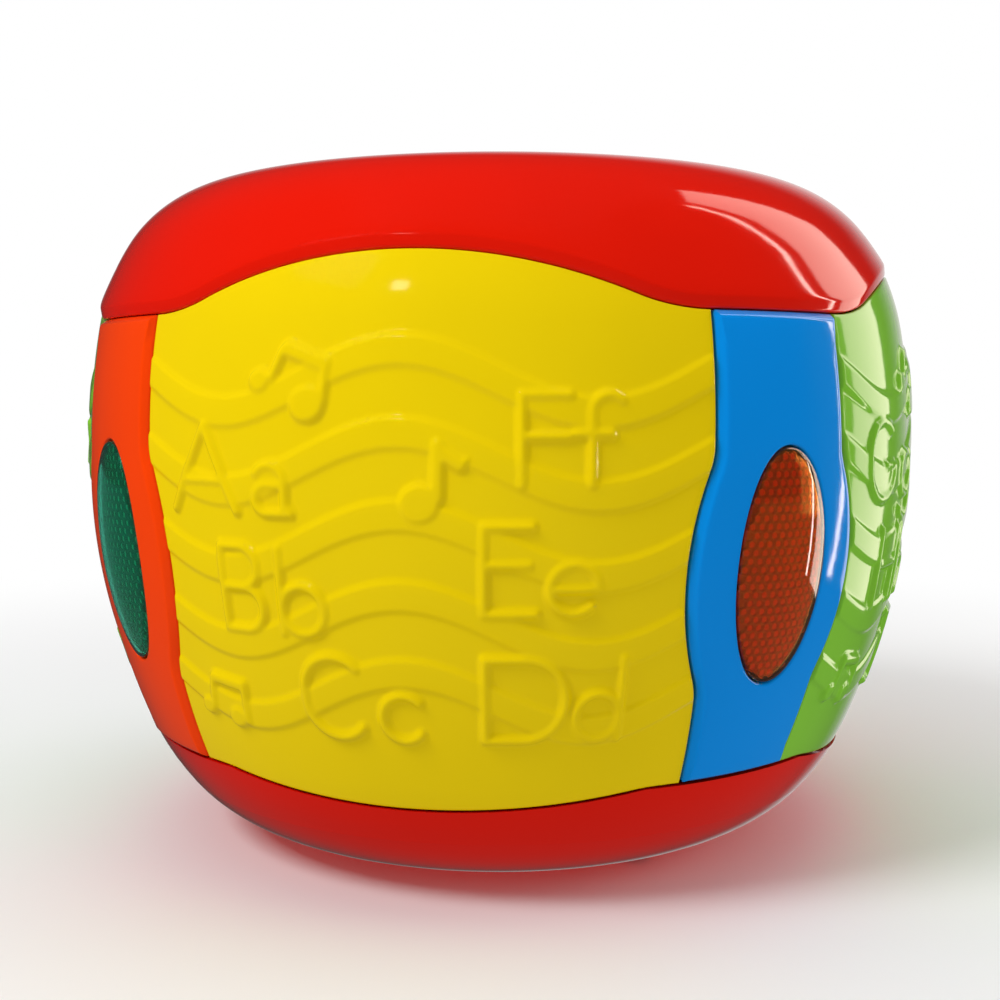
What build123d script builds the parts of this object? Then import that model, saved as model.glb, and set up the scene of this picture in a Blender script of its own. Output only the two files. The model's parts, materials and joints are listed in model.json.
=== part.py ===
"""Drum-shaped baby activity toy.

A round, barrel-sided housing in six colours carries a press-down drum head on top. The side is four
embossed panels between four columns, each column with a lens and a lamp behind it. The frame's origin
is on the table under the drum's centre, +Z is up, and the front panel faces -Y. Lengths are in mm.
"""
from build123d import *
from functools import lru_cache
from math import cos, radians, sin
import os

os.makedirs("parts", exist_ok=True)

# ---------------------------------------------------------------- driving dimensions
HEIGHT = 177.0              # table to the crest of the rim
MIDDLE_R = 114.0            # the barrel's widest radius

# The nominal side is five arcs that run into each other, from the flat underside up to the crest.
# Each is (radius, heading at its end): 0 is out along the table, 90 straight up, 180 straight in.
FLAT_R = 58.0
UNDERSIDE_Z = 2.0
SIDE_ARCS = [(41.0, 51.0), (67.0, 67.0), (184.5, 100.0), (62.0, 122.5), (36.0, 180.0)]

# How far each moulding's outer face stands outside the nominal side, and how thick it is.
SHELL_PROUD = 0.5
SHELL_WALL = 2.5
COLUMN_PROUD = 1.2
COLUMN_WALL = 2.4
PANEL_WALL = 2.6
SEAM_GAP = 0.3              # between two mouldings
TONGUE_OUTER = -2.4         # tongues and flanges that lie behind a neighbour
TONGUE_WALL = 2.2
TONGUE_REACH = 4.5
REACH = 140.0               # longer than any radius, for cutting outlines outwards

# Seams, as heights on the drum.
TOP_SEAM_Z = 139.7
TOP_SEAM_CREST_Z = 152.4
TOP_ARCH_HALF = 55.6
BOTTOM_SEAM_Z = 30.9
BOTTOM_SEAM_DIP_Z = 26.2
BOTTOM_DIP_HALF = 50.0
PANEL_HALF = 78.0

# Column outline, as half widths at heights.
COLUMN_TOP_HALF = 18.6
COLUMN_SHOULDER = (19.6, 107.0)
COLUMN_FLARE = (25.0, 81.5)
COLUMN_HIP = (18.4, 55.0)
COLUMN_FOOT_HALF = 15.5

# Lens.
LENS_Z = 82.3
LENS_HALF_W = 12.7
LENS_HALF_H = 27.0
LENS_GAP = 0.35
LENS_PROUD = 2.0
LENS_DEPTH = 9.0
LENS_WALL = 2.0

# Drum head and its mechanism.
HEAD_R = 66.6
HEAD_GUIDE_R = 67.3
HEAD_EDGE_Z = 169.6
HEAD_CROWN = 2.2
HEAD_WALL = 2.2
HEAD_SKIRT_Z = 160.0
HEAD_TRAVEL = 3.0
COLLAR_WALL = 2.2
COLLAR_LOW_Z = 156.5
DECK_Z = 148.0
DECK_THICK = 2.5
DECK_R = 95.0
DECK_TOP = DECK_Z + DECK_THICK
SPRING_PLACE_R = 50.0
SPRING_R = 4.0
SPRING_WIRE = 0.45
SPRING_TURNS = 5
HOOK_PLACE_R = 60.0
HOOK_ANGLE = 22.5
RIM_BOSS_PLACE_R = 84.0

# Base and what stands in it.
FLOOR_UNDER = UNDERSIDE_Z - SHELL_PROUD
FLOOR_TOP = FLOOR_UNDER + SHELL_WALL
POST_XY = 43.8
POST_TOP = 40.0
FEET_XY = [(46.0, -26.0), (-46.0, -26.0), (30.0, 45.0), (-30.0, 45.0)]
FOOT_R = 5.5
FOOT_TOP = FLOOR_UNDER + 1.0

CELL_R = 7.1
CELL_LENGTH = 49.5
CELL_PITCH = 15.0
BATTERY_Y = -26.0
BATTERY_OPEN_X = 60.0
BATTERY_OPEN_Y = 49.0
BOX_IN_X = 57.2
BOX_IN_Y = 46.2
BOX_WALL = 1.5
BOX_TOP = 21.0
DOOR_THICK = 2.2
DOOR_SCREW_X = 34.4
DOOR_TRAVEL = 24.0

SPEAKER_XY = (0.0, 28.5)
SPEAKER_R = 25.0
BOARD_Z = 32.0
BOARD_THICK = 1.6
BOARD_Y = 12.0
BOARD_POSTS = [(33.5, -6.0), (-33.5, -6.0), (33.5, 28.0), (-33.5, 28.0)]

SWITCH_XY = (46.0, 8.0)
SWITCH_TRAVEL = 8.0

LAMP_BOARD_R = 97.0
WEB_X = 15.6                # webs that hold the lamp board

FACES = {"front": 0, "right": 90, "back": 180, "left": 270}
CORNERS = {"front_right": 45, "back_right": 135, "back_left": 225, "front_left": 315}


# ---------------------------------------------------------------- helpers
def save(node, *solids):
    """Write one sub-part as a STEP file named after its node."""
    shape = solids[0] if len(solids) == 1 else Compound(children=list(solids))
    shape.label = node
    export_step(shape, f"parts/{node}.step")
    print(node, round(shape.volume / 1000, 2), "cm3")


def box(x0, x1, y0, y1, z0, z1):
    """Box between two corners."""
    middle = Pos((x0 + x1) / 2, (y0 + y1) / 2, (z0 + z1) / 2)
    return middle * Box(x1 - x0, y1 - y0, z1 - z0)


def rod(x, y, z0, z1, radius):
    """Upright cylinder."""
    return Pos(x, y, (z0 + z1) / 2) * Cylinder(radius, z1 - z0)


def turned(points):
    """Solid turned about +Z from a closed outline of (radius, height) points."""
    return revolve(Plane.XZ * make_face(Polyline(*points, close=True)), Axis.Z)


def outwards(sketch, start=0.0):
    """Outline drawn as (sideways, height), pushed out through the front of the drum."""
    return extrude(Plane.XZ.offset(start) * sketch, amount=REACH - start)


def turn(angle, shape):
    """Turn a shape about the drum's axis."""
    return Rot(0, 0, angle) * shape


def polar(radius, angle):
    """Place at an angle from the front, positive towards +X."""
    return radius * sin(radians(angle)), -radius * cos(radians(angle))


@lru_cache(maxsize=None)
def drum(offset):
    """Solid drum whose side stands `offset` outside the nominal side."""
    start = Vector(FLAT_R, UNDERSIDE_Z - offset)
    tangent = Vector(1, 0)
    heading = 0.0
    arcs = []
    for radius, end_heading in SIDE_ARCS:
        arc = JernArc(start, tangent, radius + offset, end_heading - heading)
        arcs.append(arc)
        start = arc @ 1
        tangent = arc % 1
        heading = end_heading
    low = Vector(0, UNDERSIDE_Z - offset)
    high = Vector(0, start.Y)
    outline = [Line(low, arcs[0] @ 0), *arcs, Line(start, high), Line(high, low)]
    return revolve(Plane.XZ * make_face(outline), Axis.Z)


@lru_cache(maxsize=None)
def skin(outer, inner):
    """Shell between two offsets of the nominal side."""
    return drum(outer) - drum(inner)


# ---------------------------------------------------------------- outlines on the side
def panel_outline():
    """A panel between its two seams, arched at the top and dipped at the bottom."""
    top_left = (-TOP_ARCH_HALF, TOP_SEAM_Z)
    top_right = (TOP_ARCH_HALF, TOP_SEAM_Z)
    low_left = (-BOTTOM_DIP_HALF, BOTTOM_SEAM_Z)
    low_right = (BOTTOM_DIP_HALF, BOTTOM_SEAM_Z)
    edges = [
        Line((-PANEL_HALF, TOP_SEAM_Z), top_left),
        ThreePointArc(top_left, (0, TOP_SEAM_CREST_Z), top_right),
        Line(top_right, (PANEL_HALF, TOP_SEAM_Z)),
        Line((PANEL_HALF, TOP_SEAM_Z), (PANEL_HALF, BOTTOM_SEAM_Z)),
        Line((PANEL_HALF, BOTTOM_SEAM_Z), low_right),
        ThreePointArc(low_right, (0, BOTTOM_SEAM_DIP_Z), low_left),
        Line(low_left, (-PANEL_HALF, BOTTOM_SEAM_Z)),
        Line((-PANEL_HALF, BOTTOM_SEAM_Z), (-PANEL_HALF, TOP_SEAM_Z)),
    ]
    face = make_face(edges)
    arch_ends = [v for v in face.vertices() if abs(abs(v.X) - TOP_ARCH_HALF) < 0.1]
    return fillet(arch_ends, 40.0)


def column_outline():
    """A column, a little wider round the lens, drawn as (sideways, height)."""
    right = [
        Line((COLUMN_TOP_HALF, TOP_SEAM_Z), COLUMN_SHOULDER),
        ThreePointArc(COLUMN_SHOULDER, COLUMN_FLARE, COLUMN_HIP),
        Line(COLUMN_HIP, (COLUMN_FOOT_HALF, BOTTOM_SEAM_Z)),
    ]
    left = [mirror(edge, Plane.YZ) for edge in right]
    top = Line((-COLUMN_TOP_HALF, TOP_SEAM_Z), (COLUMN_TOP_HALF, TOP_SEAM_Z))
    foot = Line((-COLUMN_FOOT_HALF, BOTTOM_SEAM_Z), (COLUMN_FOOT_HALF, BOTTOM_SEAM_Z))
    return make_face([top, *right, foot, *left])


def lens_outline(grow=0.0):
    """The lens's upright oval."""
    return Pos(0, LENS_Z) * Ellipse(LENS_HALF_W + grow, LENS_HALF_H + grow)


PANEL_FACE = panel_outline()
COLUMN_FACE = column_outline()


# ---------------------------------------------------------------- side mouldings
def side_panel():
    """The front panel: a face between its two seams and its columns, with tongues behind them."""
    both_sides = [turn(angle, outwards(offset(COLUMN_FACE, SEAM_GAP))) for angle in (-45, 45)]
    face = outwards(offset(PANEL_FACE, -SEAM_GAP)) & skin(0.0, -PANEL_WALL)
    face -= both_sides
    behind = offset(PANEL_FACE, TONGUE_REACH) - offset(PANEL_FACE, -TONGUE_REACH)
    behind &= Pos(0, 90) * Rectangle(88.0, 160.0)
    tongues = outwards(behind) & skin(TONGUE_OUTER, TONGUE_OUTER - TONGUE_WALL)
    return face + tongues


def column():
    """A column facing the front: proud face, side walls, and flanges behind the panels."""
    face = outwards(offset(COLUMN_FACE, -SEAM_GAP)) & skin(COLUMN_PROUD, COLUMN_PROUD - COLUMN_WALL)
    inset = offset(COLUMN_FACE, -2.4)
    wall_ring = offset(COLUMN_FACE, -SEAM_GAP) - inset
    walls = outwards(wall_ring) & skin(COLUMN_PROUD, -5.4)
    flange_ring = offset(COLUMN_FACE, 4.0) - inset
    flange_ring &= Pos(0, 85.4) * Rectangle(80.0, 104.0)
    flanges = outwards(flange_ring) & skin(-3.1, -5.4)
    body = face + walls + flanges
    # Two upright webs reach in to hold the lamp board.
    for side in (-1, 1):
        web = box(side * WEB_X - 0.8, side * WEB_X + 0.8, -REACH, -LAMP_BOARD_R + 2.0, 52.0, 112.0)
        body += web & drum(0.0)
    return body - outwards(lens_outline(LENS_GAP), 60.0)


def lens():
    """Oval lens that follows the side: a cup open to the lamp, with a ledge behind the column's face."""
    oval = outwards(lens_outline(), 60.0) & skin(LENS_PROUD, LENS_PROUD - LENS_DEPTH)
    hollow = outwards(lens_outline(-LENS_WALL), 60.0) & drum(LENS_PROUD - LENS_WALL)
    lip = outwards(lens_outline(1.2) - lens_outline(-LENS_WALL), 60.0)
    ledge_outer = COLUMN_PROUD - COLUMN_WALL - SEAM_GAP
    return (oval - hollow) + (lip & skin(ledge_outer, ledge_outer - 1.5))


def lamp_board():
    """Small board behind the lens."""
    return box(-WEB_X + 1.0, WEB_X - 1.0, -LAMP_BOARD_R - 1.2, -LAMP_BOARD_R, 56.0, 108.0)


def lamp_led():
    """Domed lamp standing on the board towards the lens."""
    stem = Pos(0, -LAMP_BOARD_R - 1.2 - 1.5, LENS_Z) * Rot(90, 0, 0) * Cylinder(2.9, 3.0)
    return stem + Pos(0, -LAMP_BOARD_R - 4.2, LENS_Z) * Sphere(2.5)


def make_side():
    """Four panels, four columns, and the lens and lamp of each column."""
    panel = side_panel()
    for face, angle in FACES.items():
        save(f"{face}_panel", turn(angle, panel))
    shapes = {"column": column(), "lens": lens(), "lamp_board": lamp_board(), "lamp_led": lamp_led()}
    for corner, angle in CORNERS.items():
        for name, shape in shapes.items():
            save(f"{corner}_{name}", turn(angle, shape))


# ---------------------------------------------------------------- rim, head and deck
def top_rim():
    """Rim with a scalloped lower edge, a guide collar for the head and four screw bosses."""
    high = box(-REACH, REACH, -REACH, REACH, TOP_SEAM_Z, HEIGHT + 5)
    rim = skin(SHELL_PROUD, SHELL_PROUD - SHELL_WALL) & high
    for angle in FACES.values():
        rim -= turn(angle, outwards(PANEL_FACE, 40.0))
    rim -= rod(0, 0, 120.0, HEIGHT + 5, HEAD_GUIDE_R)
    collar = turned([(HEAD_GUIDE_R, COLLAR_LOW_Z), (HEAD_GUIDE_R + COLLAR_WALL, COLLAR_LOW_Z),
                     (HEAD_GUIDE_R + COLLAR_WALL, HEIGHT - 1.0), (HEAD_GUIDE_R, HEIGHT - 1.0)])
    rim += collar
    mouth = rim.edges().filter_by(GeomType.CIRCLE).group_by(Axis.Z)[-1]
    rim = fillet([e for e in mouth if abs(e.radius - HEAD_GUIDE_R) < 0.1], 1.2)
    for angle in FACES.values():
        x, y = polar(RIM_BOSS_PLACE_R, angle)
        rim += rod(x, y, DECK_TOP, HEIGHT, 4.0) & drum(-0.5)
        rim -= rod(x, y, DECK_TOP - 1, DECK_TOP + 14, 1.3)
    return rim


def drum_head():
    """Shallow dome with a skirt, a central plunger, spring cups and four hooks under the deck."""
    crown_r = (HEAD_R ** 2 + HEAD_CROWN ** 2) / (2 * HEAD_CROWN)
    top_z = HEAD_EDGE_Z + HEAD_CROWN
    disc = rod(0, 0, HEAD_SKIRT_Z, top_z + 1, HEAD_R)
    head = disc & (Pos(0, 0, top_z - crown_r) * Sphere(crown_r))
    under = rod(0, 0, HEAD_SKIRT_Z - 1, top_z, HEAD_R - HEAD_WALL)
    head -= under & (Pos(0, 0, top_z - crown_r) * Sphere(crown_r - HEAD_WALL))
    head += rod(0, 0, 157.5, top_z - 1.0, 5.0)
    for angle in FACES.values():
        x, y = polar(SPRING_PLACE_R, angle)
        cup = rod(x, y, 163.5, 169.0, SPRING_R + 2.0) - rod(x, y, 163.0, 167.5, SPRING_R + 0.7)
        head += cup
        head += turn(angle + HOOK_ANGLE, hook())
    return head


def hook():
    """Leg of the head with a catch below the deck, facing the front."""
    leg = box(-4.0, 4.0, -HOOK_PLACE_R - 1.2, -HOOK_PLACE_R + 1.2, DECK_Z - 4.0, 168.5)
    catch = box(-4.0, 4.0, -HOOK_PLACE_R - 3.2, -HOOK_PLACE_R + 1.2, DECK_Z - 2.8, DECK_Z - 0.35)
    return leg + catch


def inner_deck():
    """Deck under the head, with legs down to the base posts and seats for the springs."""
    deck = rod(0, 0, DECK_Z, DECK_TOP, DECK_R)
    for angle in FACES.values():
        x, y = polar(SPRING_PLACE_R, angle)
        deck += rod(x, y, DECK_TOP - 0.5, DECK_TOP + 4.0, SPRING_R - 1.4)
        x, y = polar(RIM_BOSS_PLACE_R, angle)
        deck -= rod(x, y, DECK_Z - 1, DECK_TOP + 1, 1.8)
        slot = box(-4.6, 4.6, -HOOK_PLACE_R - 4.0, -HOOK_PLACE_R + 2.0, DECK_Z - 1, DECK_TOP + 1)
        deck -= turn(angle + HOOK_ANGLE, slot)
    deck -= rod(18, 0, DECK_Z - 1, DECK_TOP + 1, 3.0)
    for x, y in post_places():
        leg = rod(x, y, POST_TOP, DECK_Z + 0.5, 4.6)
        ribs = box(x - 0.8, x + 0.8, y - 9, y + 9, DECK_Z - 25, DECK_Z + 0.5)
        ribs += box(x - 9, x + 9, y - 0.8, y + 0.8, DECK_Z - 25, DECK_Z + 0.5)
        deck += leg + ribs
        deck -= rod(x, y, POST_TOP - 1, POST_TOP + 16, 1.4)
    return deck


def post_places():
    """Where the four case screws stand."""
    return [(sx * POST_XY, sy * POST_XY) for sx in (-1, 1) for sy in (-1, 1)]


def coil(x, y, z0, z1, radius, wire, turns):
    """Round-wire compression spring."""
    height = z1 - z0 - 2 * wire
    path = Helix(pitch=height / turns, height=height, radius=radius)
    section = Plane(origin=path @ 0, z_dir=path % 0) * Circle(wire)
    return Pos(x, y, z0 + wire) * sweep(section, path)


def make_head():
    """Rim, head, deck and all that lets the head be pressed and felt."""
    save("top_rim", top_rim())
    save("drum_head", drum_head())
    save("inner_deck", inner_deck())
    coils = []
    screws = []
    lamps = []
    for angle in FACES.values():
        x, y = polar(SPRING_PLACE_R, angle)
        coils.append(coil(x, y, DECK_TOP + 0.05, 167.4, SPRING_R - SPRING_WIRE, SPRING_WIRE, SPRING_TURNS))
        x, y = polar(RIM_BOSS_PLACE_R, angle)
        screws.append(rod(x, y, DECK_Z - 2.0, DECK_Z, 3.0) + rod(x, y, DECK_Z - 1, DECK_Z + 12, 1.25))
    for step in range(6):
        x, y = polar(24.0, 60 * step + 30)
        lamps.append(rod(x, y, DECK_TOP + 1.65, DECK_TOP + 4.0, 2.5) + Pos(x, y, DECK_TOP + 4.3) * Sphere(2.5))
    save("head_springs", *coils)
    save("deck_screws", *screws)
    save("head_lamps", *lamps)
    board = rod(0, 0, DECK_TOP + 0.05, DECK_TOP + 1.65, 32.0) - rod(18, 0, DECK_Z, DECK_TOP + 3, 3.0)
    save("head_switch_board", board)
    dome = turned([(0, DECK_TOP + 6.2), (3.4, DECK_TOP + 6.2), (5.6, DECK_TOP + 3.0), (7.2, DECK_TOP + 1.7),
                   (4.6, DECK_TOP + 1.7), (2.6, DECK_TOP + 4.4), (0, DECK_TOP + 4.4)])
    save("head_switch_dome", dome)
    bumper = turned([(63.0, DECK_TOP + 0.05), (66.0, DECK_TOP + 0.05), (66.0, DECK_TOP + 2.5),
                     (63.0, DECK_TOP + 2.5)])
    save("head_bumper", bumper)


# ---------------------------------------------------------------- base
def speaker_holes():
    """Round sound holes in rings."""
    holes = [rod(*SPEAKER_XY, 0, 6, 1.5)]
    for ring, count in ((6.0, 6), (12.0, 12), (18.0, 18)):
        for step in range(count):
            x, y = polar(ring, 360 * step / count)
            holes.append(rod(SPEAKER_XY[0] + x, SPEAKER_XY[1] + y, 0, 6, 1.5))
    return holes


def base_shell():
    """Bowl with a dipped upper edge, floor openings, posts and bosses."""
    low = box(-REACH, REACH, -REACH, REACH, -1, BOTTOM_SEAM_Z)
    base = skin(SHELL_PROUD, SHELL_PROUD - SHELL_WALL) & low
    for angle in FACES.values():
        base -= turn(angle, outwards(PANEL_FACE, 40.0))
    for x, y in post_places():
        base += rod(x, y, FLOOR_UNDER + 0.5, POST_TOP, 5.6)
        base -= rod(x, y, -1, 28.0, 3.7)
        base -= rod(x, y, 27, POST_TOP + 1, 1.9)
    for x, y in BOARD_POSTS:
        base += rod(x, y, FLOOR_TOP - 0.5, BOARD_Z, 2.8) - rod(x, y, BOARD_Z - 10, BOARD_Z + 1, 1.1)
    for x in (-22.0, 22.0):
        base += rod(x, -54.6, FLOOR_TOP - 0.5, 8.0, 3.0) - rod(x, -54.6, FLOOR_TOP + 0.2, 9.0, 1.1)
    ring = rod(*SPEAKER_XY, FLOOR_TOP - 0.5, 9.0, SPEAKER_R + 1.9)
    base += ring - rod(*SPEAKER_XY, FLOOR_TOP - 1, 10.0, SPEAKER_R + 0.4)
    base -= speaker_holes()
    half_x = BATTERY_OPEN_X / 2
    half_y = BATTERY_OPEN_Y / 2
    base -= box(-half_x, half_x, BATTERY_Y - half_y, BATTERY_Y + half_y, 0, FLOOR_TOP + 0.5)
    for side in (-1, 1):
        base -= rod(side * DOOR_SCREW_X, BATTERY_Y, 0, FLOOR_TOP + 0.5, 5.0)
        neck_x = sorted((side * (half_x - 1.0), side * DOOR_SCREW_X))
        base -= box(*neck_x, BATTERY_Y - 3.3, BATTERY_Y + 3.3, 0, FLOOR_TOP + 0.5)
    for x, y in FEET_XY:
        base -= rod(x, y, 0, FOOT_TOP, FOOT_R + 0.1)
    sx, sy = SWITCH_XY
    base -= box(sx - 2.4, sx + 2.4, sy - 7.4, sy + 7.4, 0, 5)
    return base


def battery_box():
    """Tray that is open downwards, with lugs for the door screws and for its own screws."""
    half_x = BOX_IN_X / 2 + BOX_WALL
    half_y = BOX_IN_Y / 2 + BOX_WALL
    tray = box(-half_x, half_x, BATTERY_Y - half_y, BATTERY_Y + half_y, FLOOR_TOP, BOX_TOP)
    for side in (-1, 1):
        lug = box(min(side * half_x, side * DOOR_SCREW_X), max(side * half_x, side * DOOR_SCREW_X),
                  BATTERY_Y - 2.5, BATTERY_Y + 2.5, FLOOR_TOP, 13.0)
        tray += lug
        tray += rod(side * DOOR_SCREW_X, BATTERY_Y, FLOOR_TOP, 13.0, 3.4)
        tray -= rod(side * DOOR_SCREW_X, BATTERY_Y, FLOOR_TOP - 1, 12.0, 1.45)
        ear = box(side * 22 - 3, side * 22 + 3, -54.6, BATTERY_Y - half_y + 0.5, 8.0, 10.0)
        tray += ear + rod(side * 22, -54.6, 8.0, 10.0, 3.0)
        tray -= rod(side * 22, -54.6, 7.0, 11.0, 1.5)
    inner = box(-BOX_IN_X / 2, BOX_IN_X / 2, BATTERY_Y - BOX_IN_Y / 2, BATTERY_Y + BOX_IN_Y / 2,
                FLOOR_TOP - 1, BOX_TOP - BOX_WALL)
    return tray - inner


def battery_door():
    """Flush door with two ears for its screws and finger ribs outside."""
    x = BATTERY_OPEN_X / 2 - 0.3
    y = BATTERY_OPEN_Y / 2 - 0.3
    door = box(-x, x, BATTERY_Y - y, BATTERY_Y + y, FLOOR_UNDER, FLOOR_UNDER + DOOR_THICK)
    for side in (-1, 1):
        screw_x = side * DOOR_SCREW_X
        door += rod(screw_x, BATTERY_Y, FLOOR_UNDER, FLOOR_UNDER + DOOR_THICK, 4.7)
        neck_x = sorted((side * (x - 1.0), screw_x))
        door += box(*neck_x, BATTERY_Y - 3.0, BATTERY_Y + 3.0, FLOOR_UNDER, FLOOR_UNDER + DOOR_THICK)
        door -= rod(screw_x, BATTERY_Y, 0, FLOOR_UNDER + 1.3, 3.1)
        door -= rod(screw_x, BATTERY_Y, 0, 8, 1.7)
    for step in range(5):
        groove_y = BATTERY_Y - 8 + 4 * step
        door -= box(-12, 12, groove_y - 0.6, groove_y + 0.6, 0, FLOOR_UNDER + 0.5)
    return door


def make_battery():
    """Battery box, door, cells and contacts."""
    save("battery_box", battery_box())
    save("battery_door", battery_door())
    screws = []
    for side in (-1, 1):
        head = rod(side * DOOR_SCREW_X, BATTERY_Y, FLOOR_UNDER + 0.2, FLOOR_UNDER + 1.3, 2.9)
        screws.append(head + rod(side * DOOR_SCREW_X, BATTERY_Y, FLOOR_UNDER + 1, 11.0, 1.4))
    save("battery_door_screws", *screws)
    axis_z = FLOOR_UNDER + DOOR_THICK + 0.5 + CELL_R
    springs = []
    plates = []
    for number in (-1, 0, 1):
        y = BATTERY_Y + number * CELL_PITCH
        facing = 1 if number % 2 else -1
        tube = Rot(0, 90 * facing, 0)
        can = tube * Cylinder(CELL_R, CELL_LENGTH - 1.2)
        tip = tube * (Pos(0, 0, CELL_LENGTH / 2 - 0.2) * Cylinder(2.6, 1.6))
        save(f"battery_cell_{number + 2}", Pos(0, y, axis_z) * (can + tip))
        coil_length = BOX_IN_X / 2 - CELL_LENGTH / 2 - 0.1
        spring = coil(0, 0, 0.1, coil_length, 3.0, 0.35, 3)
        springs.append(Pos(-facing * (CELL_LENGTH / 2 - 0.6), y, axis_z) * Rot(0, -90 * facing, 0) * spring)
        plate_x = facing * (BOX_IN_X / 2 - 0.45)
        plates.append(box(plate_x - 0.35, plate_x + 0.35, y - 5, y + 5, axis_z - 5, axis_z + 5))
    save("battery_springs", *springs)
    save("battery_plates", *plates)
    lugs = [rod(x, -54.6, 10.0, 11.8, 2.6) + rod(x, -54.6, 4.4, 10.5, 1.05) for x in (-22.0, 22.0)]
    save("battery_box_screws", *lugs)


def make_speaker():
    """Speaker that faces down through the floor's sound holes."""
    place = Pos(SPEAKER_XY[0], SPEAKER_XY[1], FLOOR_TOP)
    gasket = turned([(21.5, 0.02), (SPEAKER_R, 0.02), (SPEAKER_R, 0.9), (21.5, 0.9)])
    basket = turned([(21.5, 0.95), (SPEAKER_R, 0.95), (SPEAKER_R, 2.0), (23.0, 2.0), (12.5, 11.0),
                     (12.5, 12.0), (3.0, 12.0), (3.0, 11.0), (11.0, 11.0), (21.5, 2.2)])
    cone = turned([(21.0, 1.2), (21.3, 1.5), (7.5, 8.2), (0, 8.2), (0, 7.8), (7.2, 7.8)])
    magnet = turned([(0, 12.05), (14.0, 12.05), (14.0, 18.5), (0, 18.5)])
    for node, shape in (("speaker_gasket", gasket), ("speaker_basket", basket),
                        ("speaker_cone", cone), ("speaker_magnet", magnet)):
        save(node, place * shape)


def make_board():
    """Main board on its posts, with its chip and connectors."""
    top = BOARD_Z + BOARD_THICK
    board = box(-38, 38, BOARD_Y - 22, BOARD_Y + 21, BOARD_Z, top)
    for x, y in BOARD_POSTS:
        board -= rod(x, y, BOARD_Z - 1, top + 1, 1.5)
    save("main_board", board)
    chip = Pos(0, BOARD_Y, top) * (Sphere(9.0) & box(-9, 9, -9, 9, 0.02, 2.6))
    sockets = [box(x - 4, x + 4, y - 2.5, y + 2.5, top + 0.02, top + 5.5)
               for x in (-20, 20) for y in (BOARD_Y - 17, BOARD_Y + 16)]
    save("board_parts", chip, *sockets)
    screws = [rod(x, y, top, top + 1.8, 2.6) + rod(x, y, BOARD_Z - 8, top + 0.5, 1.05) for x, y in BOARD_POSTS]
    save("board_screws", *screws)


def make_switch():
    """Three-position slide switch in the floor: off, quiet, loud."""
    x, y = SWITCH_XY
    body = box(x - 5, x + 5, y - 11, y + 11, FLOOR_TOP + 0.02, FLOOR_TOP + 7)
    body -= box(x - 2.4, x + 2.4, y - 7.4, y + 7.4, FLOOR_TOP - 1, FLOOR_TOP + 2.5)
    save("power_switch_body", body)
    knob_y = y - SWITCH_TRAVEL / 2
    knob = box(x - 2.0, x + 2.0, knob_y - 3.0, knob_y + 3.0, 0.6, FLOOR_TOP + 2.1)
    for step in (-1, 0, 1):
        knob -= box(x - 3, x + 3, knob_y + 1.8 * step - 0.4, knob_y + 1.8 * step + 0.4, 0, 1.0)
    save("power_knob", knob)


def make_base():
    """Base shell with its feet and case screws."""
    save("base_shell", base_shell())
    save("rubber_feet", *[rod(x, y, 0, FOOT_TOP, FOOT_R) for x, y in FEET_XY])
    screws = [rod(x, y, 25.4, 28.0, 3.2) + rod(x, y, 27.5, POST_TOP + 14, 1.35) for x, y in post_places()]
    save("case_screws", *screws)


# ---------------------------------------------------------------- leads
LEAD_R = 0.7


def lead(points):
    """Insulated wire along straight runs joined by arcs of 0.45 of the shorter run."""
    corners = [Vector(*p) for p in points]
    radii = []
    for before, here, after in zip(corners, corners[1:], corners[2:]):
        half_turn = radians((here - before).get_angle(after - here)) / 2
        shorter = min((here - before).length, (after - here).length)
        radii.append(round(0.45 * shorter * cos(half_turn) / sin(half_turn), 2))
    path = FilletPolyline(*points, radius=radii)
    wire = sweep(Plane(origin=path @ 0, z_dir=path % 0) * Circle(LEAD_R), path)
    print("lead", round(path.length, 1), "radii", radii, "check", round(wire.volume / path.length, 3))
    return wire


def pair(points):
    """Two wires side by side, a little apart in X and Y."""
    shifted = [(x + 1.3, y + 1.3, z) for x, y, z in points]
    return [lead(points), lead(shifted)]


def make_leads():
    """Leads from the main board's sockets to the battery, speaker, switch, head and lamps."""
    top = BOARD_Z + BOARD_THICK
    save("battery_leads", *pair([(-20, -9.6, 36), (-21, -16, 39), (-23, -24, 34), (-24, -30, 27), (-24.2, -31, 21.6)]))
    save("speaker_leads", *pair([(21, 32.0, 38), (20, 39, 40), (18, 45, 35), (15.5, 47, 26), (13.8, 46.2, 18),
                                 (13.4, 45.8, 11.6)]))
    save("switch_leads", *pair([(24.8, -6, 38), (33, -5, 41), (42, -1, 37), (46, 4, 27), (45, 7, 17),
                                (45, 7.5, 11.2)]))
    save("head_leads", *pair([(-20, 31.6, 38), (-20, 38, 46), (-12, 40, 62), (-2, 33, 80), (6, 20, 98), (12, 8, 118),
                              (16.8, 0.5, 134), (17.4, -0.7, 152.3)]))
    for corner, angle in CORNERS.items():
        side_x, side_y = polar(1.0, angle)
        start_x = 24.6 if side_x > 0 else -26.2
        start_y = BOARD_Y - 17 if side_y < 0 else BOARD_Y + 16
        run = [(start_x, start_y, 36)]
        for radius, aside, height in ((54, 13, 42), (70, 11, 44), (84, 5, 48), (92, 1, 56), (95, 0, 66)):
            x, y = polar(radius, angle + aside)
            run.append((x - 0.6, y - 0.6, height))
        save(f"{corner}_lamp_leads", *pair(run))


make_side()
make_head()
make_base()
make_battery()
make_speaker()
make_board()
make_switch()
make_leads()
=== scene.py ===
import json
from math import cos, pi, radians, sin

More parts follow.
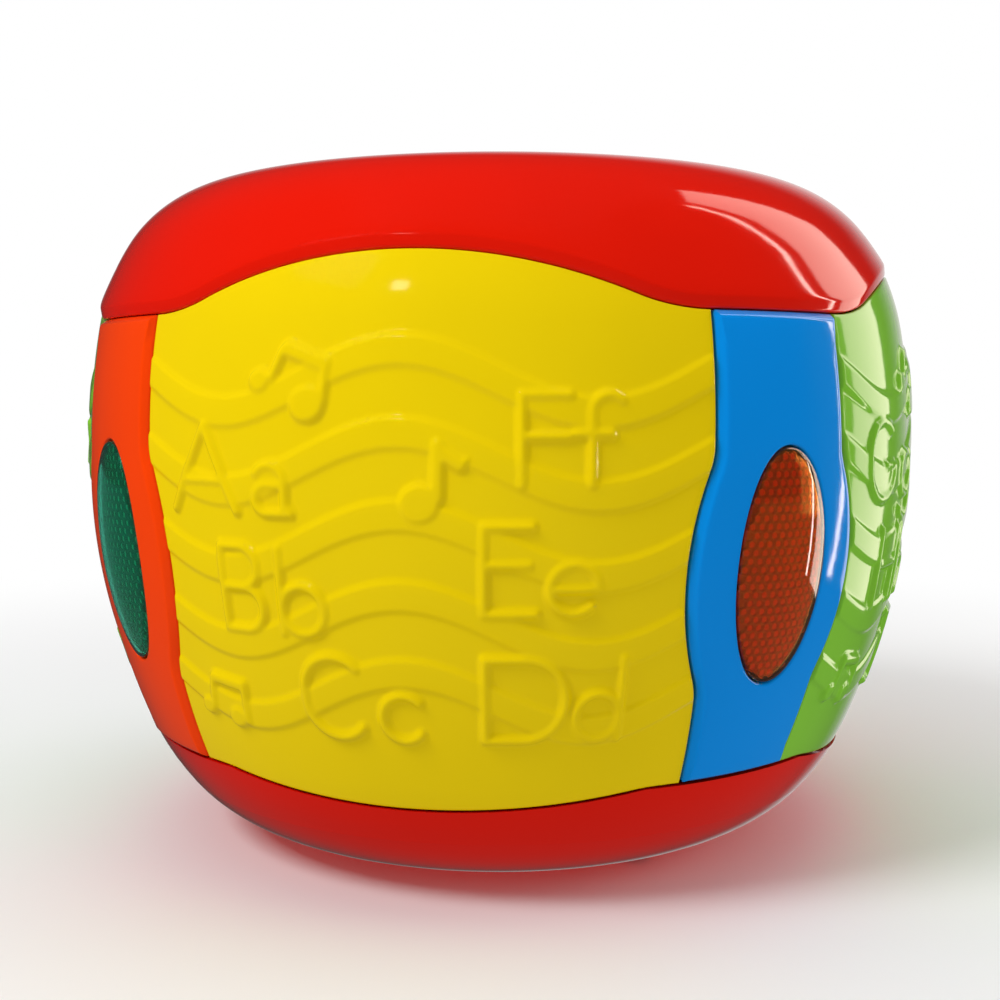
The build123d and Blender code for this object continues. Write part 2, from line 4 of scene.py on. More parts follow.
import bpy
import numpy as np
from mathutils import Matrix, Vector

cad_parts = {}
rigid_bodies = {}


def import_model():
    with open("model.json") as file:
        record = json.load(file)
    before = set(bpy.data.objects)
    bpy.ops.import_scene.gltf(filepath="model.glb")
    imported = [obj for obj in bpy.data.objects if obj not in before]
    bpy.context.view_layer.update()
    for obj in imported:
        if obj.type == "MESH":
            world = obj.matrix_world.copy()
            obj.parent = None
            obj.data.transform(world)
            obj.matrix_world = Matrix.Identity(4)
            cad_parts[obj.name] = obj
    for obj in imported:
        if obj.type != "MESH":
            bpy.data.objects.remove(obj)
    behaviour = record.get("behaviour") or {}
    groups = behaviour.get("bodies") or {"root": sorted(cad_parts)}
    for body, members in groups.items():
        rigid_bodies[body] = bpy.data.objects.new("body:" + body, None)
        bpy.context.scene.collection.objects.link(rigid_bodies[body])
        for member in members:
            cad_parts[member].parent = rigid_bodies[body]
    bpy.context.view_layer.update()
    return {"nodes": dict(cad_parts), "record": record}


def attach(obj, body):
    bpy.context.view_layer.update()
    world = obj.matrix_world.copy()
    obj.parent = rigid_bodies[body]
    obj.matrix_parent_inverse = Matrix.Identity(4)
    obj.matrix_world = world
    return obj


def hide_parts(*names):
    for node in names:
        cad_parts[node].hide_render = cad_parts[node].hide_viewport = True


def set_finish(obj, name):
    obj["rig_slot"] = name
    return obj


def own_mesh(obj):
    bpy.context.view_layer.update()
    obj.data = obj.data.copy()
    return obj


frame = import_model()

MM = 0.001

# ---------------------------------------------------------------- the drum's side
FLAT_R = 58.0
UNDERSIDE_Z = 2.0
SIDE_ARCS = [(41.0, 51.0), (67.0, 67.0), (184.5, 100.0), (62.0, 122.5), (36.0, 180.0)]
MIDDLE_R = 114.0
CREST_Z = 177.0
SEAM_GAP = 0.3

TOP_SEAM_Z = 139.7
TOP_SEAM_RISE = 12.7
TOP_ARCH_HALF = 55.6
BOTTOM_SEAM_Z = 30.9
BOTTOM_SEAM_DIP = 4.7
BOTTOM_DIP_HALF = 50.0
SEAM_FILLET = 40.0

COLUMN_OUTLINE = [(18.6, TOP_SEAM_Z), (19.6, 107.0), (25.0, 81.5), (18.4, 55.0), (15.5, BOTTOM_SEAM_Z)]
COLUMN_PROUD = 1.2
LENS_Z = 82.3
LENS_HALF_W = 12.7
LENS_HALF_H = 27.0
LENS_GAP = 0.35
HEAD_GUIDE_R = 67.3
COLLAR_LOW_Z = 156.5

FACES = {"front": 0, "right": 90, "back": 180, "left": 270}
CORNERS = {"front_right": 45, "back_right": 135, "back_left": 225, "front_left": 315}
LETTERS = {"front": "ABCDEF", "right": "GHIJKL", "back": "MNOPQR", "left": "STUVWX"}


def side_centres():
    """Each arc of the side as (centre radius, centre height, radius, start heading, end heading)."""
    r, z, heading = FLAT_R, UNDERSIDE_Z, 0.0
    arcs = []
    for radius, end in SIDE_ARCS:
        centre_r = r - radius * sin(heading)
        centre_z = z + radius * cos(heading)
        end = radians(end)
        arcs.append((centre_r, centre_z, radius, heading, end))
        r = centre_r + radius * sin(end)
        z = centre_z - radius * cos(end)
        heading = end
    return arcs


ARCS = side_centres()


def heading_at(z):
    """Heading of the nominal side at a height."""
    z = np.asarray(z, float)
    heading = np.zeros_like(z)
    for _, centre_z, radius, start, end in ARCS:
        low = centre_z - radius * cos(start)
        high = centre_z - radius * cos(end)
        inside = (z >= low - 1e-9) & (z <= high + 1e-9)
        angle = np.arccos(np.clip((centre_z - z) / radius, -1, 1))
        heading = np.where(inside, angle, heading)
    return heading


def side_point(heading, proud):
    """(radius, height) of a point on the side, at a heading and a distance outside it."""
    heading = np.asarray(heading, float)
    r = np.zeros_like(heading)
    z = np.zeros_like(heading)
    for centre_r, centre_z, radius, start, end in ARCS:
        inside = (heading >= start - 1e-9) & (heading <= end + 1e-9)
        r = np.where(inside, centre_r + (radius + proud) * np.sin(heading), r)
        z = np.where(inside, centre_z - (radius + proud) * np.cos(heading), z)
    return r, z


def radius_at(z):
    """Nominal radius at a height."""
    return side_point(heading_at(z), 0.0)[0]


def place(round_angle, z, proud):
    """Points (x, y, z) on the side."""
    r, height = side_point(heading_at(z), proud)
    return np.stack([r * np.sin(round_angle), -r * np.cos(round_angle), height], axis=-1)


# ---------------------------------------------------------------- seams and outlines
def scallop(sideways, rise, half, fillet):
    """Rise of a seam's arch over its ends, with a hollow fillet where it runs out flat."""
    radius = (half ** 2 + rise ** 2) / (2 * rise)
    out = np.sqrt((radius + fillet) ** 2 - (fillet + radius - rise) ** 2)
    join = out * radius / (radius + fillet)
    arch = rise - radius + np.sqrt(np.maximum(radius ** 2 - sideways ** 2, 0))
    hollow = fillet - np.sqrt(fillet ** 2 - np.clip(out - sideways, 0, out - join) ** 2)
    return np.where(sideways < join, arch, hollow)


def top_seam(round_angle):
    """Height of the rim's scalloped edge, `round_angle` from the nearest panel's middle."""
    z = np.full_like(round_angle, TOP_SEAM_Z)
    for _ in range(4):
        sideways = np.abs(radius_at(z) * np.sin(round_angle))
        z = TOP_SEAM_Z + scallop(sideways, TOP_SEAM_RISE, TOP_ARCH_HALF, SEAM_FILLET)
    return z


def bottom_seam(round_angle):
    """Height of the base's dipped edge, `round_angle` from the nearest panel's middle."""
    z = np.full_like(round_angle, BOTTOM_SEAM_Z)
    for _ in range(4):
        sideways = np.abs(radius_at(z) * np.sin(round_angle))
        z = BOTTOM_SEAM_Z - scallop(sideways, BOTTOM_SEAM_DIP, BOTTOM_DIP_HALF, SEAM_FILLET)
    return z


def from_panel(round_angle):
    """Angle from the nearest panel's middle, for any angle about the drum."""
    return (round_angle + pi / 4) % (pi / 2) - pi / 4


def flare():
    """Circle through the shoulder, the flare and the hip of a column's outline."""
    (x0, y0), (x1, y1), (x2, y2) = COLUMN_OUTLINE[1:4]
    a = np.array([[x1 - x0, y1 - y0], [x2 - x0, y2 - y0]]) * 2
    b = np.array([x1 ** 2 - x0 ** 2 + y1 ** 2 - y0 ** 2, x2 ** 2 - x0 ** 2 + y2 ** 2 - y0 ** 2])
    cx, cy = np.linalg.solve(a, b)
    return cx, cy, float(np.hypot(x0 - cx, y0 - cy))


FLARE = flare()


def sharp_column_half(z):
    """Half width of a column at a height, with sharp corners at the shoulder and the hip."""
    top, shoulder, _, hip, foot = COLUMN_OUTLINE
    half = np.interp(z, [foot[1], hip[1], shoulder[1], top[1]], [foot[0], hip[0], shoulder[0], top[0]])
    cx, cy, radius = FLARE
    bulge = cx + np.sqrt(np.maximum(radius ** 2 - (z - cy) ** 2, 0))
    return np.where((z > hip[1]) & (z < shoulder[1]), np.maximum(bulge, half), half)


def column_half(z):
    """Half width of a column at a height, with the shoulder and the hip softened."""
    z = np.asarray(z, float)
    return np.mean([sharp_column_half(z + step) for step in np.linspace(-2.5, 2.5, 7)], axis=0)


def panel_edge(z):
    """Angle from a panel's middle to its edge beside the column."""
    return pi / 4 - np.arcsin((column_half(z) + SEAM_GAP) / radius_at(z))


# ---------------------------------------------------------------- meshes
def new_mesh(name, points, faces, body, slot, replaces=(), smooth=60):
    """Make a piece from points in mm, that rides on a body and stands for CAD nodes."""
    mesh = bpy.data.meshes.new(name)
    mesh.from_pydata((np.asarray(points) * MM).tolist(), [], faces)
    mesh.validate()
    mesh.shade_smooth()
    piece = bpy.data.objects.new(name, mesh)
    bpy.context.scene.collection.objects.link(piece)
    mesh.set_sharp_from_angle(angle=radians(smooth))
    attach(piece, body)
    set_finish(piece, slot)
    if replaces:
        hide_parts(*replaces)
    return piece


def grid_faces(rows, columns, closed_columns=False, closed_rows=False, start=0, flip=False):
    """Quads of a grid numbered row by row."""
    j_count = columns if closed_columns else columns - 1
    i_count = rows if closed_rows else rows - 1
    faces = []
    for i in range(i_count):
        a = start + i * columns
        b = start + ((i + 1) % rows) * columns
        for j in range(j_count):
            k = (j + 1) % columns
            quad = (a + j, a + k, b + k, b + j)
            faces.append(quad[::-1] if flip else quad)
    return faces


def coarse_back(rows, columns, back_point):
    """Back of a fine grid, in large cells, whose outer cells share the grid's own border."""
    ii = list(range(0, rows, BACK_CELL))
    jj = list(range(0, columns, BACK_CELL))
    last_i, last_j = ii[-1], jj[-1]
    points = []
    number = {}
    for i in ii:
        for j in jj:
            if i in (0, last_i) or j in (0, last_j):
                number[i, j] = i * columns + j
            else:
                number[i, j] = rows * columns + len(points)
                points.append(back_point(i, j))
    faces = []
    for i0, i1 in zip(ii, ii[1:]):
        for j0, j1 in zip(jj, jj[1:]):
            loop = [number[i0, j0]]
            loop += [i * columns + j0 for i in range(i0 + 1, i1)] if j0 == 0 else []
            loop.append(number[i1, j0])
            loop += [i1 * columns + j for j in range(j0 + 1, j1)] if i1 == last_i else []
            loop.append(number[i1, j1])
            loop += [i * columns + j1 for i in range(i1 - 1, i0, -1)] if j1 == last_j else []
            loop.append(number[i0, j1])
            loop += [i0 * columns + j for j in range(j1 - 1, j0, -1)] if i0 == 0 else []
            faces.append(tuple(loop))
    return points, faces


# ---------------------------------------------------------------- embossing
CAP = 18.5
XH = 10.5
RING = 5.25
ARCH = 4.75
STROKE_HALF = 1.12
LETTER_PROUD = 1.15
LETTER_SCALE = 1.022
RIBBON_CRESTS_Z = [133.9 - 17.45 * row for row in range(5)]
RIBBON_TALL = 6.9
RIBBON_WAVE = 6.65
RIBBON_HALF_PERIOD = 43.1
RIBBON_PROUD = 0.6


def bar(x0, y0, x1, y1, half=STROKE_HALF):
    """Straight stroke."""
    return ("bar", (x0, y0, x1, y1), half)


def bow(x, y, radius, start=0, sweep=360, half=STROKE_HALF):
    """Curved stroke, or a whole ring."""
    return ("bow", (x, y, radius, start, sweep), half)


def blob(x, y, wide, tall, tilt=20):
    """Oval note head or round dot."""
    return ("blob", (x, y, wide, tall, tilt), 0.0)


O_CAP = [bow(8, 10.5, 8, 0, 180), bar(0, 10.5, 0, 8), bow(8, 8, 8, 180, 180), bar(16, 8, 16, 10.5)]
P_CAP = [bar(0, 0, 0, CAP), bar(0, CAP, 6, CAP), bow(6, 13.75, 4.75, 90, -180), bar(0, 9, 6, 9)]
GLYPHS = {
    "A": [bar(0, 0, 9.5, CAP), bar(9.5, CAP, 19, 0), bar(3.3, 6.5, 15.7, 6.5)],
    "B": [bar(0, 0, 0, CAP), bar(0, CAP, 5.5, CAP), bow(5.5, 14, 4.5, 90, -180), bar(0, 9.5, 5.8, 9.5),
          bow(5.8, 4.75, 4.75, 90, -180), bar(0, 0, 5.8, 0)],
    "C": [bow(8, 10.5, 8, 45, 135), bar(0, 10.5, 0, 8), bow(8, 8, 8, 180, 135)],
    "D": [bar(0, 0, 0, CAP), bar(0, CAP, 9, CAP), bow(9, CAP / 2, CAP / 2, 90, -180), bar(0, 0, 9, 0)],
    "E": [bar(0, 0, 0, CAP), bar(0, CAP, 10, CAP), bar(0, 10.5, 9.5, 10.5), bar(0, 0, 11, 0)],
    "F": [bar(0, 0, 0, CAP), bar(0, CAP, 10, CAP), bar(0, 10, 9.5, 10)],
    "G": [bow(8, 10.5, 8, 45, 135), bar(0, 10.5, 0, 8), bow(8, 8, 8, 180, 180), bar(10, 8, 16, 8)],
    "H": [bar(0, 0, 0, CAP), bar(13, 0, 13, CAP), bar(0, 9.5, 13, 9.5)],
    "I": [bar(4, 0, 4, CAP), bar(0, 0, 8, 0), bar(0, CAP, 8, CAP)],
    "J": [bar(10, CAP, 10, 5), bow(5, 5, 5, 0, -180)],
    "K": [bar(0, 0, 0, CAP), bar(0, 7, 11, CAP), bar(4.2, 11.4, 12, 0)],
    "L": [bar(0, 0, 0, CAP), bar(0, 0, 10.5, 0)],
    "M": [bar(0, 0, 0, CAP), bar(0, CAP, 8, 6), bar(8, 6, 16, CAP), bar(16, CAP, 16, 0)],
    "N": [bar(0, 0, 0, CAP), bar(0, CAP, 12.5, 0), bar(12.5, 0, 12.5, CAP)],
    "O": O_CAP,
    "P": P_CAP,
    "Q": O_CAP + [bar(10.5, 5.5, 16, -0.5)],
    "R": P_CAP + [bar(5.5, 9, 11, 0)],
    "S": [bow(5.5, 13.9, 4.6, 20, 250), bow(5.5, 4.7, 4.6, 90, -250)],
    "T": [bar(0, CAP, 13, CAP), bar(6.5, CAP, 6.5, 0)],
    "U": [bar(0, CAP, 0, 6.5), bow(6.5, 6.5, 6.5, 180, 180), bar(13, 6.5, 13, CAP)],
    "V": [bar(0, CAP, 7.5, 0), bar(7.5, 0, 15, CAP)],
    "W": [bar(0, CAP, 5, 0), bar(5, 0, 9.5, 13), bar(9.5, 13, 14, 0), bar(14, 0, 19, CAP)],
    "X": [bar(0, 0, 13, CAP), bar(0, CAP, 13, 0)],
    "a": [bar(8.4, 0, 8.4, 6.5), bow(4.6, 6.5, 3.8, 0, 150), bar(4, 6, 8.4, 6), bow(4, 3, 3, 90, 180),
          bar(4, 0, 8.4, 0), bar(8.4, 1.5, 9.8, 0)],
    "b": [bar(0, 0, 0, CAP), bow(RING, RING, RING)],
    "c": [bow(RING, RING, RING, 45, 270)],
    "d": [bow(RING, RING, RING), bar(2 * RING, 0, 2 * RING, CAP)],
    "e": [bow(RING, RING, RING, 0, 315), bar(0, RING, 2 * RING, RING)],
    "f": [bow(7.2, 14.7, 3.8, 45, 135), bar(3.4, 14.7, 3.4, 0), bar(0, XH, 7.5, XH)],
    "g": [bow(RING, RING, RING), bar(2 * RING, XH, 2 * RING, -0.5), bow(RING, -0.5, RING, 0, -150)],
    "h": [bar(0, 0, 0, CAP), bow(ARCH, 5.75, ARCH, 180, -180), bar(9.5, 5.75, 9.5, 0)],
    "i": [bar(0, 0, 0, XH), blob(0, 15, 1.4, 1.4)],
    "j": [bar(4, XH, 4, -1.5), bow(0, -1.5, 4, 0, -110), blob(4, 15, 1.4, 1.4)],
    "k": [bar(0, 0, 0, CAP), bar(0, 4.5, 7.5, XH), bar(3, 6.9, 8.5, 0)],
    "l": [bar(0, 2.5, 0, CAP), bow(2.5, 2.5, 2.5, 180, 90)],
    "m": [bar(0, 0, 0, XH), bow(3.3, 7.2, 3.3, 180, -180), bar(6.6, 7.2, 6.6, 0),
          bow(9.9, 7.2, 3.3, 180, -180), bar(13.2, 7.2, 13.2, 0)],
    "n": [bar(0, 0, 0, XH), bow(ARCH, 5.75, ARCH, 180, -180), bar(9.5, 5.75, 9.5, 0)],
    "o": [bow(RING, RING, RING)],
    "p": [bar(0, -5.5, 0, XH), bow(RING, RING, RING)],
    "q": [bow(RING, RING, RING), bar(2 * RING, -5.5, 2 * RING, XH)],
    "r": [bar(0, 0, 0, XH), bow(4.5, 6, 4.5, 180, -130)],
    "s": [bow(3.8, 7.8, 2.6, 20, 250), bow(3.8, 2.6, 2.6, 90, -250)],
    "t": [bar(3, 17, 3, 3), bow(6, 3, 3, 180, 100), bar(0, XH, 7.5, XH)],
    "u": [bar(0, XH, 0, ARCH), bow(ARCH, ARCH, ARCH, 180, 180), bar(9.5, 0, 9.5, XH)],
    "v": [bar(0, XH, 4.5, 0), bar(4.5, 0, 9, XH)],
    "w": [bar(0, XH, 3.3, 0), bar(3.3, 0, 6.5, 8), bar(6.5, 8, 9.7, 0), bar(9.7, 0, 13, XH)],
    "x": [bar(0, 0, 9, XH), bar(0, XH, 9, 0)],
}
# A thick bar's half width is a beam's. Each group of notes is drawn about a point of its own.
NOTES = [
    ((-21.2, 131.2), [bar(-4.3, -0.5, 4.4, -3.7, 1.8), bar(-8.2, -6.5, -5.6, -0.9),
                      bar(4.9, -3.4, 4.0, -11.5), blob(-11.3, -7.1, 2.9, 2.6), blob(0.6, -12.0, 4.3, 4.0)]),
    ((7.7, 98.0), [blob(-3.0, 0.2, 4.5, 4.2), bar(0.7, 1.5, 0.9, 12.2, 1.5), bar(1.3, 11.0, 5.5, 8.2, 1.6),
                   bar(5.5, 8.2, 6.9, 9.4, 0.8)]),
    ((-51.5, 56.9), [bar(-2.3, -1.3, 6.5, -2.5, 1.5), bar(6.9, -2.0, 6.1, -11.0), bar(-3.1, -1.4, -5.1, -8.4),
                     blob(2.9, -10.4, 3.2, 2.7), blob(-7.1, -8.7, 2.8, 2.3)]),
]
# (capital's middle, small letter's middle, baseline), the first two measured round the barrel.
LETTER_PLACES = [(-48.8, -29.3, 95.2), (-39.4, -23.3, 68.6), (-18.7, -1.8, 44.8),
                 (27.5, 44.6, 45.4), (23.7, 37.6, 74.5), (31.3, 42.6, 102.1)]


def smooth_step(x):
    """0 below 0, 1 above 1, eased between."""
    x = np.clip(x, 0, 1)
    return x * x * (3 - 2 * x)


def inside_stroke(stroke, x, y):
    """How far each point lies inside a stroke, in mm; negative outside."""
    kind, values, half = stroke
    if kind == "bar":
        x0, y0, x1, y1 = values
        dx, dy = x1 - x0, y1 - y0
        along = np.clip(((x - x0) * dx + (y - y0) * dy) / (dx * dx + dy * dy), 0, 1)
        return half - np.hypot(x - x0 - along * dx, y - y0 - along * dy)
    if kind == "blob":
        cx, cy, wide, tall, tilt = values
        c, s = cos(radians(tilt)), sin(radians(tilt))
        u = ((x - cx) * c + (y - cy) * s) / wide
        v = ((y - cy) * c - (x - cx) * s) / tall
        return (1 - np.hypot(u, v)) * min(wide, tall)
    cx, cy, radius, start, sweep = values
    away = np.abs(np.hypot(x - cx, y - cy) - radius)
    if abs(sweep) < 360:
        low = start if sweep > 0 else start + sweep
        turned = (np.degrees(np.arctan2(y - cy, x - cx)) - low) % 360
        ends = [radians(start), radians(start + sweep)]
        to_end = np.minimum(*[np.hypot(x - cx - radius * cos(e), y - cy - radius * sin(e)) for e in ends])
        away = np.where(turned <= abs(sweep), away, to_end)
    return half - away


def stroke_box(strokes):
    """Lowest and highest x of a glyph's stroke lines."""
    xs = []
    for kind, values, _ in strokes:
        if kind == "bar":
            xs += [values[0], values[2]]
        elif kind == "bow":
            cx, _, radius, start, sweep = values
            steps = np.radians(start + sweep * np.linspace(0, 1, 13))
            xs += list(cx + radius * np.cos(steps))
        else:
            xs.append(values[0])
    return min(xs), max(xs)


def relief(letters, around, z):
    """Height of the embossing on a panel, at points `around` mm from its middle."""
    height = np.zeros_like(z)
    wave = RIBBON_WAVE * (1 - np.cos(pi * around / RIBBON_HALF_PERIOD))
    for crest in RIBBON_CRESTS_Z:
        into = np.minimum(crest - wave - z, z - (crest - wave - RIBBON_TALL))
        height = np.maximum(height, RIBBON_PROUD * smooth_step(into / 0.7 + 0.5))
    groups = []
    for (x, y), strokes in NOTES:
        groups.append((x, y, strokes))
    for letter, (capital, small, baseline) in zip(letters, LETTER_PLACES):
        for glyph, middle in ((letter, capital), (letter.lower(), small)):
            low, high = stroke_box(GLYPHS[glyph])
            groups.append((middle - LETTER_SCALE * (low + high) / 2, baseline, GLYPHS[glyph]))
    for x, y, strokes in groups:
        near = (np.abs(around - x - 6) < 24) & (np.abs(z - y - 3) < 26)
        if not near.any():
            continue
        inside = np.full(int(near.sum()), -9.0)
        for stroke in strokes:
            across = (around[near] - x) / LETTER_SCALE
            up = (z[near] - y) / LETTER_SCALE
            inside = np.maximum(inside, inside_stroke(stroke, across, up))
        raised = LETTER_PROUD * smooth_step((inside + 0.25) / 0.8)
        height[near] = np.maximum(height[near], raised)
    return height


# ---------------------------------------------------------------- panels
PANEL_STEP = 0.5
PANEL_ROUND = 140.0
PANEL_TALL = 118.0
PANEL_MIDDLE_Z = 85.0
PANEL_BACK = -2.6
BACK_CELL = 8
# Rows near an edge, as (distance from the edge, how far below the face), from the back out.
EDGE_ROWS = [(0.0, PANEL_BACK), (0.0, -1.2), (0.0, -0.55), (0.10, -0.22), (0.28, -0.06), (0.55, 0.0)]
EDGE_INSET = EDGE_ROWS[-1][0]


def edge_scale(length):
    """Positions across a panel: (offset from low edge, offset from high edge, fraction, depth)."""
    count = int(round(length / PANEL_STEP))
    while (count - 1 + 2 * len(EDGE_ROWS) - 1) % BACK_CELL:
        count += 1
    rows = [(offset, None, 0.0, depth) for offset, depth in EDGE_ROWS]
    rows += [(None, None, k / count, 0.0) for k in range(1, count)]
    rows += [(None, offset, 1.0, depth) for offset, depth in reversed(EDGE_ROWS)]
    return rows


def panel_grid():
    """Angles, heights and depths of a panel's grid, the same for all four."""
    u_rows = edge_scale(PANEL_ROUND)
    v_rows = edge_scale(PANEL_TALL)
    shape = (len(v_rows), len(u_rows))
    angle = np.zeros(shape)
    z = np.full(shape, PANEL_MIDDLE_Z)

    def spread(rows, low, high, axis):
        """Place the rows along an axis, between a low and a high edge."""
        out = np.zeros(shape)
        for k, (from_low, from_high, fraction, _) in enumerate(rows):
            at = (slice(None), k) if axis else (k, slice(None))
            if from_low is not None:
                out[at] = (low + from_low)[at]
            elif from_high is not None:
                out[at] = (high - from_high)[at]
            else:
                out[at] = (low + EDGE_INSET + fraction * (high - low - 2 * EDGE_INSET))[at]
        return out

    for _ in range(6):
        z = spread(v_rows, bottom_seam(angle) + SEAM_GAP, top_seam(angle) - SEAM_GAP, 0)
        r = radius_at(z)
        edge = panel_edge(z)
        angle = spread(u_rows, -edge * r, edge * r, 1) / r
    depth_u = np.array([row[3] for row in u_rows])[None, :]
    depth_v = np.array([row[3] for row in v_rows])[:, None]
    return angle, z, np.minimum(depth_u, depth_v)


GRID_ANGLE, GRID_Z, GRID_DEPTH = panel_grid()


def make_panel(face, turn, slot):
    """A side panel with its ribbons, notes and letters."""
    rows, columns = GRID_Z.shape
    at_edge = GRID_DEPTH < -0.001
    raised = np.where(at_edge, 0.0, relief(LETTERS[face], GRID_ANGLE * MIDDLE_R, GRID_Z))
    for axis in (0, 1):
        raised = 0.25 * np.roll(raised, 1, axis) + 0.5 * raised + 0.25 * np.roll(raised, -1, axis)
    raised = np.where(at_edge, 0.0, raised)
    angle = GRID_ANGLE + radians(turn)
    points = place(angle, GRID_Z, GRID_DEPTH + raised).reshape(-1, 3)
    back, back_faces = coarse_back(rows, columns, lambda i, j: place(angle[i, j], GRID_Z[i, j], PANEL_BACK))
    faces = grid_faces(rows, columns) + back_faces
    new_mesh(f"{face}_panel_skin", np.vstack([points, back]), faces, "housing", slot, [f"{face}_panel"])


# ---------------------------------------------------------------- columns and lenses
COLUMN_ANGLES = np.linspace(0, 2 * pi, 640, endpoint=False)
# Rows of a column, as (distance from its lens opening or its outer edge, how proud).
OPENING_ROWS = [(0.0, -6.0), (0.0, -0.5), (0.0, 0.45), (0.08, 0.8), (0.25, 1.05), (0.5, 1.17),
                (0.8, COLUMN_PROUD)]
CHAMFER_ROWS = [(2.2, COLUMN_PROUD), (1.8, 1.15), (1.5, 1.02), (1.3, 0.88), (0.8, 0.42), (0.3, -0.04),
                (0.08, -0.3), (0.0, -0.7), (0.0, -5.4)]
FACE_ENDS_IN = 2.4
FACE_STEPS = 14


def ray_outline():
    """How far a column's outline lies from the lens's middle, along rays at COLUMN_ANGLES."""
    low = np.zeros_like(COLUMN_ANGLES)
    high = np.full_like(COLUMN_ANGLES, 90.0)
    for _ in range(40):
        middle = 0.5 * (low + high)
        x = middle * np.cos(COLUMN_ANGLES)
        z = LENS_Z + middle * np.sin(COLUMN_ANGLES)
        r = radius_at(np.clip(z, UNDERSIDE_Z, CREST_Z - 1.0))
        beside = pi / 4 - np.arcsin(np.clip(np.abs(x) / r, 0, 1))
        within = np.abs(x) < column_half(z) - SEAM_GAP
        within &= z < top_seam(beside) - SEAM_GAP
        within &= z > bottom_seam(beside) + SEAM_GAP
        low = np.where(within, middle, low)
        high = np.where(within, high, middle)
    return low


def slant(reach):
    """How much longer than the distance to an outline the way to it along each ray is."""
    slope = (np.roll(reach, -1) - np.roll(reach, 1)) / (2 * (COLUMN_ANGLES[1] - COLUMN_ANGLES[0]))
    return np.clip(np.sqrt(1 + (slope / reach) ** 2), 1, 3.5)


def flat_place(sideways, z, proud, turn):
    """Points of an outline drawn as (sideways, height) and pushed straight out at an angle."""
    angle = np.arcsin(np.clip(sideways / radius_at(z), -1, 1))
    return place(angle + radians(turn), z, proud)


def make_column(corner, turn, slot):
    """A column round its lens: proud face with chamfered edges, side walls and a back."""
    outer = ray_outline()
    wide = LENS_HALF_W + LENS_GAP
    tall = LENS_HALF_H + LENS_GAP
    inner = 1 / np.sqrt((np.cos(COLUMN_ANGLES) / wide) ** 2 + (np.sin(COLUMN_ANGLES) / tall) ** 2)
    rings = [(inner + inset * slant(inner), proud) for inset, proud in OPENING_ROWS]
    start = inner + OPENING_ROWS[-1][0] * slant(inner)
    end = outer - FACE_ENDS_IN * slant(outer)
    rings += [(start + (end - start) * k / FACE_STEPS, COLUMN_PROUD) for k in range(1, FACE_STEPS)]
    rings += [(outer - inset * slant(outer), proud) for inset, proud in CHAMFER_ROWS]
    points = []
    for reach, proud in rings:
        x = reach * np.cos(COLUMN_ANGLES)
        z = LENS_Z + reach * np.sin(COLUMN_ANGLES)
        points.append(flat_place(x, z, proud, turn))
    faces = grid_faces(len(rings), len(COLUMN_ANGLES), closed_columns=True, closed_rows=True, flip=True)
    new_mesh(f"{corner}_column_skin", np.vstack(points), faces, "housing", slot, [f"{corner}_column"], 50)


LENS_EDGE_PROUD = 1.6
LENS_BULGE = 1.8
LENS_THICK = 1.0
# The lens's rounded edge and wall, as (fraction of its size, how proud), from the dome to the inside.
LENS_EDGE_ROWS = [(0.975, LENS_EDGE_PROUD), (0.992, 1.3), (1.0, 0.8), (1.0, -1.0), (0.97, -1.0), (0.965, 0.3)]
HEX_PITCH = 2.2
ROW_SHARE = 0.866
CELL_MARGIN = 1.5
# A cell's rings, as (radius as a share of the pitch, height above its top), from the foot to the floor.
CELL_RINGS = [(0.577, -1.6), (0.577, -0.05), (0.48, 0.0), (0.36, -0.3)]
TRAY_BELOW = 1.9
CELLS_BELOW = 1.3


def lens_dome(fraction, below=0.0):
    """How proud a lens stands at a fraction of the way out from its middle."""
    return LENS_EDGE_PROUD + LENS_BULGE * (1 - fraction ** 2) - below


def lens_ring(fraction, proud, turn, count):
    """Points of an oval ring at a fraction of the lens's size."""
    angles = np.linspace(0, 2 * pi, count, endpoint=False)
    x = LENS_HALF_W * fraction * np.cos(angles)
    z = LENS_Z + LENS_HALF_H * fraction * np.sin(angles)
    return flat_place(x, z, proud, turn)


def oval_solid(rings, turn, count=160):
    """Points and faces of a closed oval piece, from (fraction, proud) rings out over and back under."""
    points = np.vstack([lens_ring(fraction, proud, turn, count) for fraction, proud in rings])
    faces = grid_faces(len(rings), count, closed_columns=True, flip=True)
    faces.append(tuple(range(count)))
    faces.append(tuple(range((len(rings) - 1) * count, len(rings) * count))[::-1])
    return points, faces


def make_lens(corner, turn, slot):
    """Thin domed lens cover with a rounded edge."""
    spots = (0.04, 0.2, 0.4, 0.6, 0.75, 0.86, 0.94)
    rings = [(spot, lens_dome(spot)) for spot in spots] + LENS_EDGE_ROWS
    rings += [(spot, lens_dome(spot, LENS_THICK)) for spot in reversed(spots)]
    points, faces = oval_solid(rings, turn)
    new_mesh(f"{corner}_lens_cover", points, faces, "housing", slot, [f"{corner}_lens"], 50)


def cell_centres():
    """Middle of each reflector cell about the lens's middle, in staggered rows."""
    rows = int(LENS_HALF_H / (HEX_PITCH * ROW_SHARE)) + 1
    columns = int(LENS_HALF_W / HEX_PITCH) + 1
    for row in range(-rows, rows + 1):
        for column in range(-columns, columns + 1):
            x = HEX_PITCH * (column + 0.5 * (row % 2))
            y = HEX_PITCH * ROW_SHARE * row
            if (x / (LENS_HALF_W - CELL_MARGIN)) ** 2 + (y / (LENS_HALF_H - CELL_MARGIN)) ** 2 <= 1:
                yield x, y


